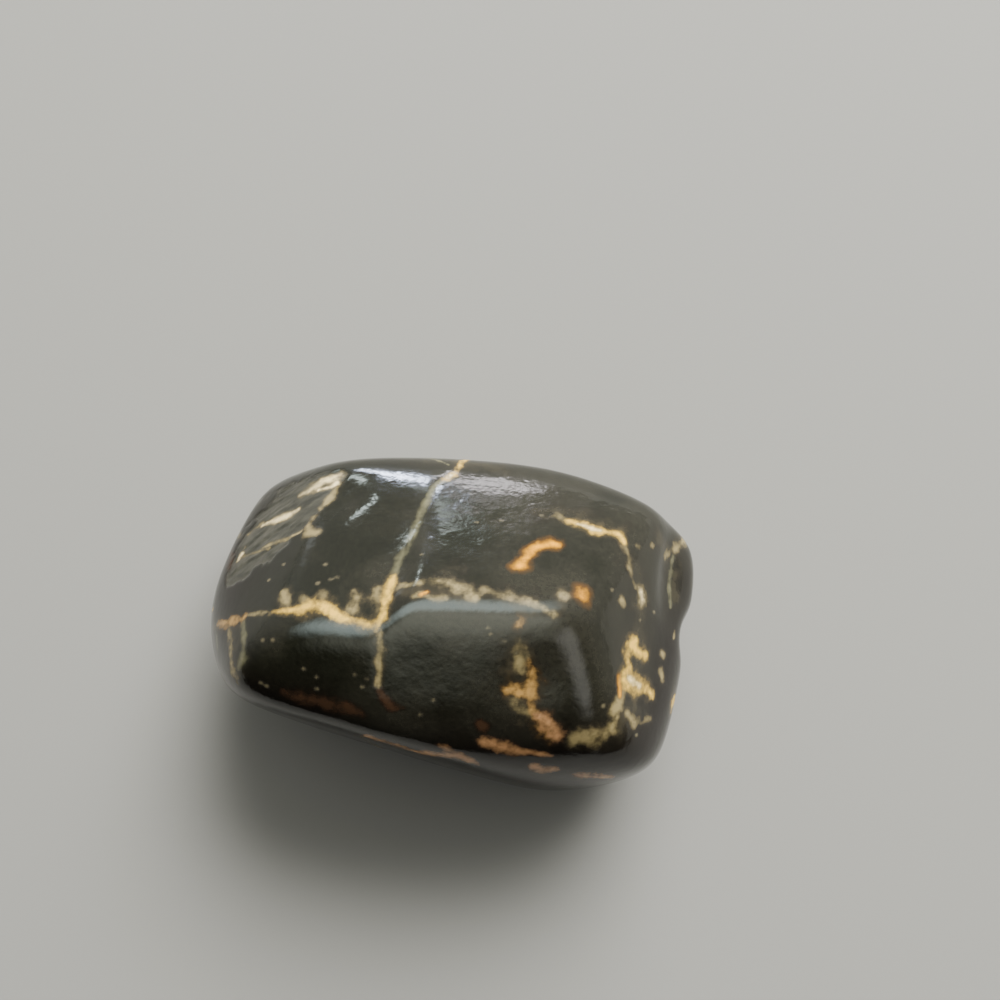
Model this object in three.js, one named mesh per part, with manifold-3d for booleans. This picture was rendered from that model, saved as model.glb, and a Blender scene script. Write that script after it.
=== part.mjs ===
// A tumbled black agate, about 30 mm long. All lengths are millimetres, with +Z up. The origin is under the
// middle of the stone, on the surface that it rests on; +X runs along its length and -Y is its front.
//
// A tumbled stone starts as a broken lump with flat faces. Weeks in the tumbler wear its edges round, and leave
// the middle of each face nearly flat. The stone is made in the same way here: a list of flat faces, a rounding
// that stands for the wear, and then the few hollows that the tumbler couldn't reach.

import * as THREE from "three";
import { mergeVertices } from "three/addons/utils/BufferGeometryUtils.js";
import Module from "manifold-3d";

// The lump: half of its rough length, width and height, and the height of its middle above the table.
const HALF_LENGTH = 14.8;
const HALF_WIDTH = 9.9;
const HALF_HEIGHT = 7.6;
const MIDDLE_HEIGHT = 6.9;

// How sharp the worn edges still are: 4 would be a pebble, and 40 a freshly broken lump.
const EDGE_SHARPNESS = 18;

// How finely the surface is faceted: each edge of an icosahedron is cut into one more piece than this.
const FACET_DETAIL = 18;

// The flat faces of the lump. "turn" is the compass angle that a face looks towards (0 is +X, 90 is +Y, the back),
// "tilt" is how far it leans from facing straight up (90 is a wall, over 90 faces down), and "reach" is how far
// the face lies from the middle of the lump.
const UPPER_FACES = [
  { name: "split facet, left and back", turn: 151, tilt: 43, reach: 9.1 },
  { name: "left end slope", turn: -168, tilt: 58, reach: 12.9 },
  { name: "right end slope", turn: 4, tilt: 46, reach: 11.2 },
  { name: "front bevel, right", turn: -78, tilt: 50, reach: 10.2 },
  { name: "back bevel", turn: 95, tilt: 39, reach: 7.0 },
];
const WALLS = [
  { name: "back wall", turn: 96, tilt: 82, reach: 9.7 },
  { name: "back wall, left corner", turn: 113, tilt: 82, reach: 11.1 },
  { name: "left wall, back corner", turn: 150, tilt: 84, reach: 17.0 },
  { name: "left wall", turn: 174, tilt: 86, reach: 15.4 },
  { name: "left wall, front corner", turn: -146, tilt: 86, reach: 15.6 },
  { name: "front wall, left corner", turn: -116, tilt: 86, reach: 12.9 },
  { name: "front wall", turn: -97, tilt: 84, reach: 9.1 },
  { name: "front wall, right corner", turn: -70, tilt: 84, reach: 12.1 },
  { name: "right wall, front corner", turn: -40, tilt: 86, reach: 17.4 },
  { name: "right wall, lower lobe", turn: -9, tilt: 88, reach: 15.3 },
  { name: "right wall, upper lobe", turn: 17, tilt: 88, reach: 18.6 },
  { name: "right wall, back corner", turn: 45, tilt: 84, reach: 16.2 },
  { name: "back wall, right corner", turn: 70, tilt: 82, reach: 11.9 },
];
const LOWER_FACES = [
  { name: "lower edge, front", turn: -98, tilt: 122, reach: 9.7 },
  { name: "lower edge, back", turn: 92, tilt: 122, reach: 10.2 },
  { name: "lower edge, left", turn: 176, tilt: 126, reach: 13.2 },
  { name: "lower edge, right", turn: 2, tilt: 126, reach: 13.6 },
  { name: "worn flat, back and low", turn: 76, tilt: 109, reach: 10.6 },
  { name: "worn flat, front and low", turn: -128, tilt: 110, reach: 12.4 },
  { name: "underside, front", turn: -95, tilt: 155, reach: 7.9 },
  { name: "underside, back", turn: 86, tilt: 155, reach: 8.0 },
  { name: "underside, left", turn: 178, tilt: 163, reach: 8.2 },
  { name: "underside, right", turn: -2, tilt: 163, reach: 8.3 },
  { name: "underside, lowest", turn: 0, tilt: 180, reach: 7.1 },
];

// A healed crack crosses the stone, and the ridge on top steps forward and down on its left side.
const RIDGE_RIGHT_OF_CRACK = [
  { name: "front slope, right", turn: -84, tilt: 20, reach: 8.3 },
  { name: "back slope, right", turn: 97, tilt: 32, reach: 6.8 },
];
const RIDGE_LEFT_OF_CRACK = [
  { name: "front slope, left", turn: -109, tilt: 23, reach: 8.8 },
  { name: "back slope, left", turn: 107, tilt: 26, reach: 6.4 },
];
const CRACK_BACK = new THREE.Vector2(-1.3, 8);
const CRACK_FRONT = new THREE.Vector2(-3.4, -6);
const CRACK_WIDTH = 2.6;

// Hollows that the tumbling left. "at" is a point near the surface, "long" and "wide" are the half sizes of the
// hollow, and "heading" is the compass angle of its length.
const HOLLOWS = [
  { name: "groove in the right end", at: [13.2, 3.9, 8.6], long: 3.2, wide: 1.3, heading: 84, depth: 0.6 },
  { name: "notch in the right end", at: [14.4, 0.8, 6.2], long: 3.0, wide: 1.2, heading: 0, depth: 0.7 },
  { name: "chip in the split facet's edge", at: [-7.3, 5.6, 10.2], long: 2.2, wide: 1.2, heading: 62, depth: 0.35 },
  { name: "dimple in the front slope", at: [6.2, -3.6, 13.2], long: 2.2, wide: 2.0, heading: 90, depth: 0.25 },
];

const degrees = THREE.MathUtils.degToRad;

function faceNormal({ turn, tilt }) {
  const level = Math.sin(degrees(tilt));
  return new THREE.Vector3(
    level * Math.cos(degrees(turn)),
    level * Math.sin(degrees(turn)),
    Math.cos(degrees(tilt)),
  );
}

function lumpFaces(ridge) {
  const faces = [...UPPER_FACES, ...WALLS, ...LOWER_FACES, ...ridge];
  return faces.map((face) => ({ normal: faceNormal(face), reach: face.reach }));
}

const RIGHT_LUMP = lumpFaces(RIDGE_RIGHT_OF_CRACK);
const LEFT_LUMP = lumpFaces(RIDGE_LEFT_OF_CRACK);

// How far the worn lump reaches from its middle in one direction. Each face alone would stop at reach / cos;
// adding the faces as high powers lets the nearest one rule, and rounds the edge where two are equally near.
function wornReach(faces, direction) {
  let sum = 0;
  for (const { normal, reach } of faces) {
    const nearness = Math.max(0, normal.dot(direction)) / reach;
    sum += nearness ** EDGE_SHARPNESS;
  }
  return sum ** (-1 / EDGE_SHARPNESS);
}

// 0 left of the crack, 1 right of it, and between them within the crack's own width.
function sideOfCrack(point) {
  const along = CRACK_BACK.clone().sub(CRACK_FRONT).normalize();
  const across = (point.x - CRACK_FRONT.x) * along.y - (point.y - CRACK_FRONT.y) * along.x;
  return THREE.MathUtils.smoothstep(across, -CRACK_WIDTH / 2, CRACK_WIDTH / 2);
}

function hollowDepth(hollow, point) {
  const offset = point.clone().sub(new THREE.Vector3(...hollow.at));
  const heading = degrees(hollow.heading);
  const forward = new THREE.Vector3(Math.cos(heading), Math.sin(heading), 0);
  const along = offset.dot(forward);
  const across = offset.addScaledVector(forward, -along).length();
  return hollow.depth * Math.exp(-((along / hollow.long) ** 2) - (across / hollow.wide) ** 2);
}

// The point of the stone's surface in one direction from the middle of the lump.
function surfacePoint(direction) {
  const middle = new THREE.Vector3(0, 0, MIDDLE_HEIGHT);
  const left = wornReach(LEFT_LUMP, direction);
  const right = wornReach(RIGHT_LUMP, direction);
  const between = middle.clone().addScaledVector(direction, (left + right) / 2);
  const reach = THREE.MathUtils.lerp(left, right, sideOfCrack(between));
  const point = middle.clone().addScaledVector(direction, reach);
  const depth = HOLLOWS.reduce((sum, hollow) => sum + hollowDepth(hollow, point), 0);
  return point.addScaledVector(direction, -depth);
}

// Only positions are kept, and corners that coincide become one, so that the surface is closed.
function closedSurface(geometry) {
  geometry.deleteAttribute("normal");
  geometry.deleteAttribute("uv");
  return mergeVertices(geometry);
}

// A finely faceted ball, stretched to the rough size of the lump and then pushed onto the stone's surface.
function wornLump() {
  const lump = closedSurface(new THREE.IcosahedronGeometry(1, FACET_DETAIL));
  const position = lump.getAttribute("position");
  const roughSize = new THREE.Vector3(HALF_LENGTH, HALF_WIDTH, HALF_HEIGHT);
  const direction = new THREE.Vector3();
  for (let i = 0; i < position.count; i++) {
    direction.fromBufferAttribute(position, i).multiply(roughSize).normalize();
    position.setXYZ(i, ...surfacePoint(direction));
  }
  return lump;
}

// All the space below the table top, as far as the stone could reach.
function belowTable() {
  const size = 4 * HALF_LENGTH;
  return closedSurface(new THREE.BoxGeometry(size, size, size).translate(0, 0, -size / 2));
}

const wasm = await Module();
wasm.setup();

function solidFrom(geometry) {
  return new wasm.Manifold(
    new wasm.Mesh({
      numProp: 3,
      vertProperties: geometry.getAttribute("position").array,
      triVerts: new Uint32Array(geometry.index.array),
    }),
  );
}

function geometryFrom(solid) {
  const mesh = solid.getMesh();
  const geometry = new THREE.BufferGeometry();
  geometry.setAttribute("position", new THREE.BufferAttribute(mesh.vertProperties, 3));
  geometry.setIndex(new THREE.BufferAttribute(mesh.triVerts, 1));
  geometry.computeVertexNormals();
  return geometry;
}

// The origin is put under the middle of the finished stone.
function centred(geometry) {
  geometry.computeBoundingBox();
  const middle = geometry.boundingBox.getCenter(new THREE.Vector3());
  return geometry.translate(-middle.x, -middle.y, 0);
}

const polishedAgate = new THREE.MeshStandardMaterial({
  name: "polished black agate",
  color: 0x24241f,
  roughness: 0.22,
  metalness: 0,
});

// The lowest part of the lump is cut off level, which leaves the small flat spot that the stone rests on.
const restingStone = solidFrom(wornLump()).subtract(solidFrom(belowTable()));
const stone = new THREE.Mesh(centred(geometryFrom(restingStone)), polishedAgate);
stone.name = "agate_stone";

const part = new THREE.Group();
part.add(stone);

export default part;
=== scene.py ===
# %% [markdown]
# # A tumbled black agate
#
# This lesson dresses one small polished stone, about 30 mm long. The CAD model already holds its true
# shape and size. What Blender adds is everything that the polish shows: a smooth fine surface with its
# few bruises, the healed crack that crosses it, cream veins, orange iron spots, and light that lies on
# the worn faces in soft bands.
#
# The lesson goes from the camera to the surface, then to the markings, the material and the light.

import math

import bpy
import numpy as np
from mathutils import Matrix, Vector, noise
from mathutils.bvhtree import BVHTree


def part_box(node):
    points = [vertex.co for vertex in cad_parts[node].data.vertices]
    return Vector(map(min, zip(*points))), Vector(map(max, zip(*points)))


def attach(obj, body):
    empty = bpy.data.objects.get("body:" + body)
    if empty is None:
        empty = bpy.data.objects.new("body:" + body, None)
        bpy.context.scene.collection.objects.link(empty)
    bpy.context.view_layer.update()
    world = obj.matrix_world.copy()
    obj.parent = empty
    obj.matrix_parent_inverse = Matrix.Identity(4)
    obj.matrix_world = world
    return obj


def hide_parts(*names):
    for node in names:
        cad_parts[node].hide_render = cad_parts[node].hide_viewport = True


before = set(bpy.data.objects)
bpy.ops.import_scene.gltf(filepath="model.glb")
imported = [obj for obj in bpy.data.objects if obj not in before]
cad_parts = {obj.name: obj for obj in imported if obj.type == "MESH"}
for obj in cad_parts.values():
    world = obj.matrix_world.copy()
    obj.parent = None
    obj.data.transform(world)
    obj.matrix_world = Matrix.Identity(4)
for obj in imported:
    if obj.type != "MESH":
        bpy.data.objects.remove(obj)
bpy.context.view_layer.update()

MM = 0.001  # Blender works in metres, and the stone is described in millimetres
stone_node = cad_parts["agate_stone"]
lowest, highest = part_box("agate_stone")
stone_size = (highest - lowest) / MM
print("CAD stone:", [round(side, 1) for side in stone_size], "mm")

# %% [markdown]
# ## The camera
#
# The stone was photographed by a phone held just above it, looking almost straight down. The lens is
# short for its distance, so a wide view is right here: a long lens from far away would show more of the
# sides and less of the top. The camera comes first, because the markings are later placed through it.

# %% The camera
CAMERA_PLACE = Vector((4.11, -6.26, 66.8)) * MM
CAMERA_TILT = math.radians(13)  # away from straight down
CAMERA_TURN = math.radians(9)
PHOTO_SIDE = 1000  # the photograph is square, and this is its side in pixels
FOCAL_LENGTH_IN_PIXELS = 963
NEAREST_SEEN = 1 * MM
FARTHEST_SEEN = 10_000 * MM

bpy.ops.object.camera_add(location=CAMERA_PLACE, rotation=(CAMERA_TILT, 0, CAMERA_TURN))
camera = bpy.context.object
camera.data.lens = camera.data.sensor_width * FOCAL_LENGTH_IN_PIXELS / PHOTO_SIDE
camera.data.clip_start = NEAREST_SEEN
camera.data.clip_end = FARTHEST_SEEN
bpy.context.scene.camera = camera
bpy.context.view_layer.update()
print("camera lens:", round(camera.data.lens, 1), "mm")

# %% [markdown]
# ## The fine surface
#
# A tumbler wears a broken lump until its edges are round and its faces are nearly flat. The CAD solid has
# that shape in about 7,000 flat triangles, which would show as facets in a polish. There are three ways
# to a smooth surface: subdivide the CAD mesh, remesh it, or wrap a clean grid of quads round it. Wrapping
# is chosen, because it gives even quads without the pinched poles of a globe, which is what mirror-like
# reflections and fine carving need.
#
# First comes something to wrap onto: a copy of the CAD stone, with its loose triangles merged and
# smoothed.


# %% Helpers for selecting one object and for applying a modifier
def select_only(thing):
    """Makes one object the only selected one, and the active one."""
    bpy.ops.object.select_all(action="DESELECT")
    thing.select_set(True)
    bpy.context.view_layer.objects.active = thing


def modify(thing, kind, **settings):
    """Adds a modifier to an object, sets it and applies it."""
    select_only(thing)
    modifier = thing.modifiers.new(kind.title(), kind)
    for name, value in settings.items():
        setattr(modifier, name, value)
    bpy.ops.object.modifier_apply(modifier=modifier.name)


# %% The copy to wrap onto
MERGE_DISTANCE = 0.002 * MM

select_only(stone_node)
bpy.ops.object.duplicate()
guide = bpy.context.object
guide.name = "wrapping_guide"
bpy.ops.object.mode_set(mode="EDIT")
bpy.ops.mesh.select_all(action="SELECT")
bpy.ops.mesh.remove_doubles(threshold=MERGE_DISTANCE)
bpy.ops.object.mode_set(mode="OBJECT")
modify(guide, "SUBSURF", levels=2, render_levels=2)
print("guide:", len(guide.data.polygons), "faces")

# %% [markdown]
# The clean grid starts as a cube. In edit mode it is subdivided, blown part of the way towards a ball,
# and stretched to just outside the stone. Shrinkwrap then pulls it onto the guide, Subdivision makes it
# four times finer each way, and a second wrap puts the new points on the stone as well.

# %% The grid of quads
CUTS = 31  # 32 quads along each edge of the cube
ROUNDNESS = 0.62  # 0 keeps the cube, and 1 makes it a ball
ROOM = 1.06  # the cage starts this much larger than the stone
FINER = 2  # each level halves the sides of the quads
SMOOTH_ROUNDS = 16
SMOOTH_SHARE = 0.5  # of the way to the middle of its neighbours that a corner moves in each round

bpy.ops.mesh.primitive_cube_add(size=1)
agate = bpy.context.object
agate.name = "polished_agate"
bpy.ops.object.mode_set(mode="EDIT")
bpy.ops.mesh.select_all(action="SELECT")
bpy.ops.mesh.subdivide(number_cuts=CUTS)
bpy.ops.transform.tosphere(value=ROUNDNESS, center_override=(0, 0, 0))
bpy.ops.object.mode_set(mode="OBJECT")

cage_half = max(corner.co.x for corner in agate.data.vertices)
bpy.ops.object.mode_set(mode="EDIT")
bpy.ops.mesh.select_all(action="SELECT")
bpy.ops.transform.resize(
    value=Vector(highest - lowest) / 2 * ROOM / cage_half,
    center_override=(0, 0, 0),
)
bpy.ops.transform.translate(value=(highest + lowest) / 2)
bpy.ops.object.mode_set(mode="OBJECT")

modify(agate, "SHRINKWRAP", target=guide, wrap_method="NEAREST_SURFACEPOINT")
modify(agate, "SUBSURF", levels=FINER, render_levels=FINER)
modify(agate, "SHRINKWRAP", target=guide, wrap_method="NEAREST_SURFACEPOINT")
modify(agate, "SMOOTH", factor=SMOOTH_SHARE, iterations=SMOOTH_ROUNDS)
bpy.ops.object.shade_smooth()
print("agate:", len(agate.data.polygons), "quads")

# %% [markdown]
# ## Finding a place on the stone
#
# A marking that the photograph shows is given by the pixel where it is seen. A ray from the camera
# through that pixel meets the stone at the marking's true place. A marking on a hidden side is given by a
# compass angle and a lift, as seen from the stone's middle: turn 0 looks along +X, 90 looks to the back,
# and lift 0 is level.

# %% Rays from the camera and from the middle
middle = (highest + lowest) / 2
surface = BVHTree.FromObject(agate, bpy.context.evaluated_depsgraph_get())


def where_seen(pixel_x, pixel_y):
    """The place on the stone, in metres, that the photograph shows at a pixel."""
    right = (pixel_x - PHOTO_SIDE / 2) / FOCAL_LENGTH_IN_PIXELS
    up = (PHOTO_SIDE / 2 - pixel_y) / FOCAL_LENGTH_IN_PIXELS
    direction = camera.matrix_world.to_3x3() @ Vector((right, up, -1))
    return surface.ray_cast(camera.location, direction)[0]


def compass(turn, lift):
    """The unit direction with a compass angle and a lift above level, both in degrees."""
    level = math.cos(math.radians(lift))
    return Vector(
        (
            level * math.cos(math.radians(turn)),
            level * math.sin(math.radians(turn)),
            math.sin(math.radians(lift)),
        )
    )


def where_facing(turn, lift):
    """The place on the stone, in metres, straight out from its middle."""
    return surface.ray_cast(middle, compass(turn, lift))[0]


CROWN_PIXEL = (440, 605)  # the stone's highest place in the photograph

print("the crown is at", [round(x / MM, 1) for x in where_seen(*CROWN_PIXEL)], "mm")

# %% [markdown]
# ## The markings as brush strokes
#
# The veins are minerals that filled old cracks: cream calcite and quartz, tan clay, and orange iron oxide.
# They could be painted by hand or made by noise alone. Here each one is a short list of stroke points, with
# the width of the vein in millimetres at each point, so that its course is the real stone's, and noise in
# the material later frays its edges. The strokes are laid on the stone as a soft falloff: 1 on the middle
# line of a stroke, 0 at its edge and below 0 outside it. The near-white quartz strokes are partly pale
# quartz and partly painted glints, where the polish shines brighter than a colour can.

# %% Cream veins, and quartz veins with painted glints, that the photograph shows: pixel across, pixel down, width in mm
CREAM_SEEN = {
    "cross vein": [
        (393, 576, 0.45),
        (391, 583, 0.6),
        (387, 594, 0.8),
        (384, 607, 0.8),
        (382, 619, 0.7),
        (378, 625, 0.6),
    ],
    "bright start of the cross vein": [(451, 473, 0.6), (447, 478, 0.6)],
    "long vein": [
        (272, 611, 0.3),
        (280, 611, 0.5),
        (293, 610, 0.6),
        (306, 608, 0.85),
        (316, 605, 0.95),
        (326, 606, 0.85),
        (333, 612, 0.7),
        (343, 618, 0.65),
        (353, 621, 0.6),
        (366, 623, 0.65),
        (376, 625, 0.7),
        (382, 619, 0.7),
    ],
    "upper right patch": [
        (568, 520, 0.5),
        (576, 523, 0.7),
        (588, 527, 0.8),
        (600, 531, 0.8),
        (612, 532, 0.6),
        (621, 535, 0.6),
        (625, 543, 0.5),
    ],
    "large patch, head": [(636, 640, 0.6), (631, 646, 0.9), (637, 650, 0.8), (645, 655, 0.7)],
    "large patch, body": [
        (628, 656, 0.8),
        (629, 668, 0.9),
        (626, 678, 1.1),
        (632, 682, 1.2),
        (640, 685, 1.1),
        (649, 691, 0.9),
        (653, 697, 0.4),
    ],
}

# Partly pale quartz and partly painted glints: where the polish shines too brightly, a near-white colour
# stands in for the glint.
QUARTZ_AND_GLINT_SEEN = {
    "split facet, top patch": [
        (300, 494, 0.5),
        (308, 489, 0.7),
        (316, 485, 0.7),
        (327, 479, 0.9),
        (338, 474, 0.6),
    ],
    "split facet, top patch, lower strand": [(318, 489, 0.3), (330, 486, 0.4), (336, 482, 0.4)],
    "split facet, middle streak": [
        (261, 525, 0.3),
        (271, 520, 0.4),
        (281, 517, 0.5),
        (290, 513, 0.45),
        (298, 508, 0.3),
    ],
    "split facet, small tick": [(236, 560, 0.3), (241, 553, 0.35)],
    "bright spot, right": [(642, 594, 0.75), (643, 599, 0.7)],
    "large patch, core": [(628, 677, 0.4), (634, 682, 0.5), (641, 686, 0.4)],
    "upper right patch, core": [(578, 524, 0.3), (588, 527, 0.4), (600, 530, 0.3)],
    "start of the cross vein": [(450, 474, 0.4), (448, 477, 0.4)],
}

print(len(CREAM_SEEN) + len(QUARTZ_AND_GLINT_SEEN), "cream and quartz strokes")

# %% Clay and tan bands, given in the same way
CLAY_SEEN = {
    "trace in the right lobe": [(673, 556, 0.4), (671, 570, 0.5), (669, 590, 0.4), (671, 606, 0.4)],
    "left end, inner streak": [
        (243, 622, 0.5),
        (244, 635, 0.6),
        (243, 648, 0.7),
        (242, 660, 0.8),
        (238, 668, 0.5),
    ],
    "left end, rim": [(216, 636, 0.4), (217, 648, 0.4)],
    "upper cross vein": [
        (451, 474, 0.7),
        (446, 479, 0.6),
        (437, 484, 0.5),
        (429, 496, 0.5),
        (422, 511, 0.55),
        (416, 528, 0.5),
        (409, 544, 0.5),
        (401, 555, 0.6),
        (396, 568, 0.55),
        (391, 583, 0.6),
    ],
}

TAN_SEEN = {
    "left end, outer streak": [
        (229, 628, 0.4),
        (231, 644, 0.9),
        (230, 656, 0.6),
        (232, 669, 0.9),
        (237, 683, 0.5),
    ],
    "cross vein below the corner": [
        (380, 628, 0.4),
        (380, 641, 0.45),
        (380, 650, 0.65),
        (379, 660, 0.45),
        (378, 672, 0.4),
        (378, 685, 0.35),
    ],
    "long vein, left part": [(247, 615, 0.35), (258, 613, 0.4), (272, 611, 0.45)],
    "left edge": [(213, 627, 0.4), (219, 624, 0.3)],
    "above the lower orange": [(519, 640, 0.6), (519, 655, 0.9), (523, 672, 0.8)],
    "below the lower orange": [(514, 700, 0.7), (524, 711, 0.8), (536, 716, 0.6)],
    "tuft, far left": [(282, 591, 0.5), (284, 598, 0.9), (288, 606, 0.8)],
    "tuft, left": [(301, 599, 0.7), (305, 604, 0.9)],
    "tuft, middle": [(322, 597, 0.7), (322, 603, 0.9)],
    "tuft, right": [(352, 591, 0.4), (354, 600, 0.8), (352, 610, 0.9)],
    "tuft, corner": [(376, 588, 0.5), (378, 597, 0.9), (378, 610, 0.9)],
    "cloudy band": [
        (393, 590, 0.4),
        (403, 585, 0.5),
        (423, 581, 0.5),
        (439, 582, 0.6),
        (456, 587, 0.9),
        (469, 592, 0.9),
        (477, 597, 0.5),
    ],
    "cloudy band, lower strand": [(412, 597, 0.3), (423, 594, 0.5), (431, 599, 0.4), (444, 597, 0.5)],
    "cloudy band, tail": [
        (481, 589, 0.4),
        (497, 593, 0.5),
        (514, 597, 0.6),
        (531, 601, 0.6),
        (541, 606, 0.5),
        (553, 613, 0.5),
    ],
    "split facet, top shade": [(338, 484, 0.5), (333, 494, 0.6), (327, 501, 0.6), (319, 508, 0.4)],
    "split facet, blob": [(313, 517, 0.5), (308, 525, 0.7), (310, 533, 0.8), (317, 532, 0.5)],
    "split facet, lower streak": [(262, 547, 0.25), (275, 541, 0.35), (287, 538, 0.3), (300, 531, 0.3)],
    "split facet, low trace": [(240, 556, 0.3), (256, 551, 0.2), (268, 548, 0.25)],
    "split facet, far trace": [(247, 534, 0.2), (252, 529, 0.3), (262, 522, 0.3)],
    "upper right patch, tail": [(626, 546, 0.6), (629, 558, 0.5), (632, 575, 0.5), (636, 588, 0.3)],
    "upper right patch, start": [(556, 515, 0.5), (566, 519, 0.7)],
    "tan spot by the bright one": [(622, 601, 0.6), (622, 603, 0.6)],
    "tan spot by the orange one": [(561, 594, 0.75), (562, 597, 0.75)],
    "small spot, right": [(662, 653, 0.5), (663, 655, 0.5)],
    "grey spot, right": [(661, 670, 0.5), (663, 678, 0.6)],
    "small spots, upper right": [(637, 546, 0.4), (639, 547, 0.4)],
    "small spot, far upper right": [(652, 545, 0.4), (653, 547, 0.4)],
    "glint in the notch": [(675, 631, 0.3), (674, 638, 0.3)],
    "large patch, left foot": [(622, 692, 0.8), (618, 704, 0.8), (613, 714, 0.7)],
    "large patch, V": [(628, 714, 0.5), (635, 723, 0.7), (643, 723, 0.5), (651, 719, 0.4)],
    "low right band": [
        (570, 739, 0.6),
        (577, 740, 1.0),
        (588, 739, 1.2),
        (599, 736, 1.2),
        (611, 729, 0.9),
        (617, 718, 0.5),
    ],
}

print(len(CLAY_SEEN) + len(TAN_SEEN), "clay and tan strokes")

# %% Spots of iron oxide: orange, ochre, rust and rose
ORANGE_SEEN = {
    "upper left spot": [(519, 566, 0.85), (522, 562, 0.85)],
    "upper link": [(526, 558, 0.5), (529, 553, 0.6)],
    "upper bar": [(529, 553, 0.7), (535, 548, 0.75), (542, 545, 0.7), (551, 543, 0.8), (556, 544, 0.7)],
    "middle spot": [(582, 592, 0.8), (584, 596, 0.85)],
    "edge of the large patch": [(619, 677, 0.4), (620, 688, 0.45), (620, 696, 0.3)],
    "tinge in the cloudy band": [(420, 595, 0.25), (427, 592, 0.25)],
}

OCHRE_SEEN = {
    "round the peach blob": [(536, 714, 0.8), (541, 722, 1.0), (549, 733, 1.0)],
    "left edge": [(217, 624, 0.5), (228, 622, 0.7), (236, 621, 0.7), (245, 616, 0.5)],
    "lower streak": [(530, 664, 0.5), (532, 675, 0.8), (533, 688, 1.0), (533, 700, 0.8), (531, 709, 0.5)],
    "lower spot": [(508, 690, 0.6), (513, 687, 0.9), (519, 694, 0.6)],
    "tan orange spot": [(519, 624, 0.65), (520, 627, 0.65)],
}

RUST_SEEN = {
    "low brown band": [(284, 692, 0.5), (300, 698, 0.9), (325, 704, 1.0), (348, 710, 0.9), (362, 714, 0.5)],
    "curl": [(380, 690, 0.4), (384, 700, 0.5), (393, 708, 0.6), (403, 709, 0.4)],
    "low spot": [(480, 724, 0.6), (484, 728, 0.6)],
    "edge of the corner": [(390, 590, 0.5), (387, 604, 0.5)],
}

ROSE_SEEN = {
    "peach blob": [(540, 717, 0.8), (547, 724, 1.2), (554, 731, 1.2), (559, 736, 0.8)],
    "front, left streak": [(366, 736, 0.7), (378, 740, 1.0), (392, 745, 0.9), (404, 748, 0.7)],
    "front, long streak": [
        (400, 748, 0.6),
        (420, 753, 0.8),
        (440, 755, 0.9),
        (456, 756, 0.9),
        (468, 760, 0.7),
        (478, 765, 0.4),
    ],
    "front, fork": [(438, 745, 0.4), (448, 750, 0.6), (458, 756, 0.6)],
    "front, middle streak": [
        (483, 742, 0.7),
        (496, 746, 0.9),
        (510, 750, 0.9),
        (523, 752, 0.7),
        (540, 754, 0.5),
        (552, 756, 0.3),
    ],
    "front, pale spot": [(534, 766, 0.8), (543, 769, 1.0), (552, 770, 0.8)],
    "front, right streak": [(576, 775, 0.8), (584, 777, 1.1), (596, 777, 1.0), (612, 778, 0.6)],
}

print(len(ORANGE_SEEN) + len(OCHRE_SEEN) + len(RUST_SEEN) + len(ROSE_SEEN), "iron strokes")

# %% Haze under the other minerals, and the split facet
HAZE_SEEN = {
    "round the lower orange": [(516, 640, 1.4), (516, 662, 1.8), (519, 690, 2.0), (530, 714, 1.4)],
    "ghost over the cloudy band": [(445, 572, 0.8), (456, 571, 1.0)],
    "round the cloudy band": [
        (402, 590, 1.2),
        (430, 590, 1.6),
        (460, 594, 1.8),
        (500, 597, 1.5),
        (540, 608, 1.2),
    ],
    "shoulder of the upper right patch": [
        (540, 512, 1.2),
        (560, 512, 1.4),
        (590, 520, 1.4),
        (618, 530, 1.6),
    ],
    "right end": [
        (632, 560, 1.4),
        (640, 590, 1.6),
        (640, 620, 1.4),
        (638, 660, 2.4),
        (634, 700, 2.0),
        (620, 725, 1.8),
    ],
    "right lobe": [(660, 540, 1.2), (672, 565, 1.6), (674, 600, 1.2)],
    "left end": [(236, 632, 1.2), (237, 655, 1.4), (236, 678, 1.0)],
}

SPLIT_SEEN = {
    "upper end": [(332, 478, 1.6), (312, 492, 3.6), (290, 510, 5.4)],
    "middle": [(290, 510, 5.4), (268, 532, 5.4), (249, 552, 3.6)],
    "lower end": [(249, 552, 3.6), (237, 568, 2.4), (229, 580, 1.0)],
}

print(len(HAZE_SEEN), "strokes of haze and", len(SPLIT_SEEN), "across the split facet")

# %% Specks that the photograph shows, each one a pixel
# Partly pale crystals and dust, partly painted glints: bright points of the polish drawn as pale dots.
SPECKS_AND_GLINTS_SEEN = {
    "big": [(421, 554), (433, 700), (362, 687), (501, 520), (504, 641), (516, 653)],
    "left slope": [(325, 564), (337, 577), (330, 579), (317, 583), (268, 580), (283, 564)],
    "front left": [(262, 640), (272, 640), (303, 669), (316, 677)],
    "front left, low": [(316, 689), (354, 675), (260, 683), (266, 686)],
    "front middle": [(366, 679), (420, 715), (488, 628), (490, 634), (476, 522), (541, 515)],
    "right": [(640, 620), (654, 612), (612, 590), (636, 735), (603, 706)],
}

print(sum(len(pixels) for pixels in SPECKS_AND_GLINTS_SEEN.values()), "specks show")

# %% [markdown]
# The camera saw only the top. Veins that run off it are carried on round the stone, as they would be in
# the real one, and a few streaks and spots of the same kinds fill the sides and the underside. These
# strokes are a guess.

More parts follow.
